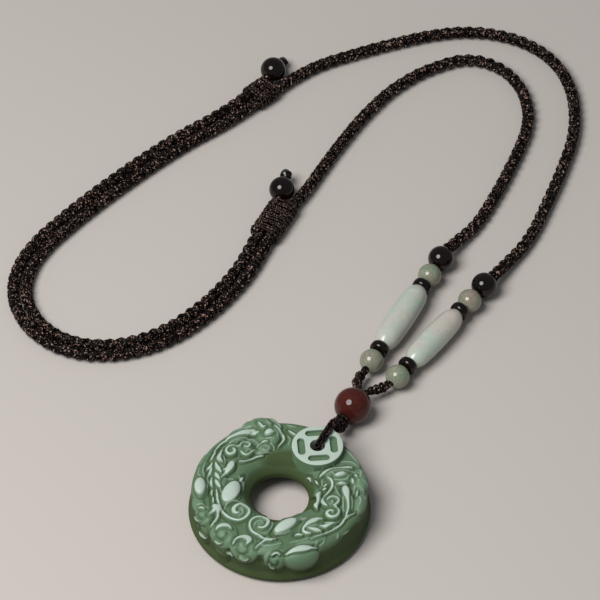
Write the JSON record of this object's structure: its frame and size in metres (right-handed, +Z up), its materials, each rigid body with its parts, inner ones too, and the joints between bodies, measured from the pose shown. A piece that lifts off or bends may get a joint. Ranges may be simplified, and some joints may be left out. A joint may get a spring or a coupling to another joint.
{
  "type": "carved jade ring pendant necklace",
  "caption": "Carved jade ring pendant with a coin in relief on a beaded, adjustable braided neck cord, laid flat.",
  "frame": {"origin": "centre of the carved ring on the surface it lies on", "axes": "+Z up out of the surface; +Y from the ring's free edge towards the neck cord; +X to the right seen from above"},
  "size_m": [0.1808, 0.2298, 0.0162],
  "materials": {
    "pendant": "polished",
    "cord": "matte",
    "agate": "polished",
    "jade_bead": "polished",
    "black_disc": "gloss",
    "black_bead": "polished",
    "barrel": "polished"
  },
  "bodies": {
    "root": {"pendant": "pendant", "loop_cord": "cord", "collar_knot": "cord", "agate_bead": "agate", "lower_braid_a": "cord", "lower_braid_b": "cord", "bead_thread_a": "cord", "bead_thread_b": "cord", "jade_bead_1": "jade_bead", "jade_bead_2": "jade_bead", "jade_bead_3": "jade_bead", "jade_bead_4": "jade_bead", "black_disc_1": "black_disc", "black_disc_2": "black_disc", "black_disc_3": "black_disc", "black_disc_4": "black_disc", "barrel_bead_a": "barrel", "barrel_bead_b": "barrel", "black_bead_1": "black_bead", "black_bead_2": "black_bead", "black_bead_3": "black_bead", "black_bead_4": "black_bead", "neck_cord_a": "cord", "neck_cord_b": "cord", "wrap_1": "cord", "wrap_2": "cord", "end_knot_a": "cord", "end_knot_b": "cord"}
  },
  "joints": []
}
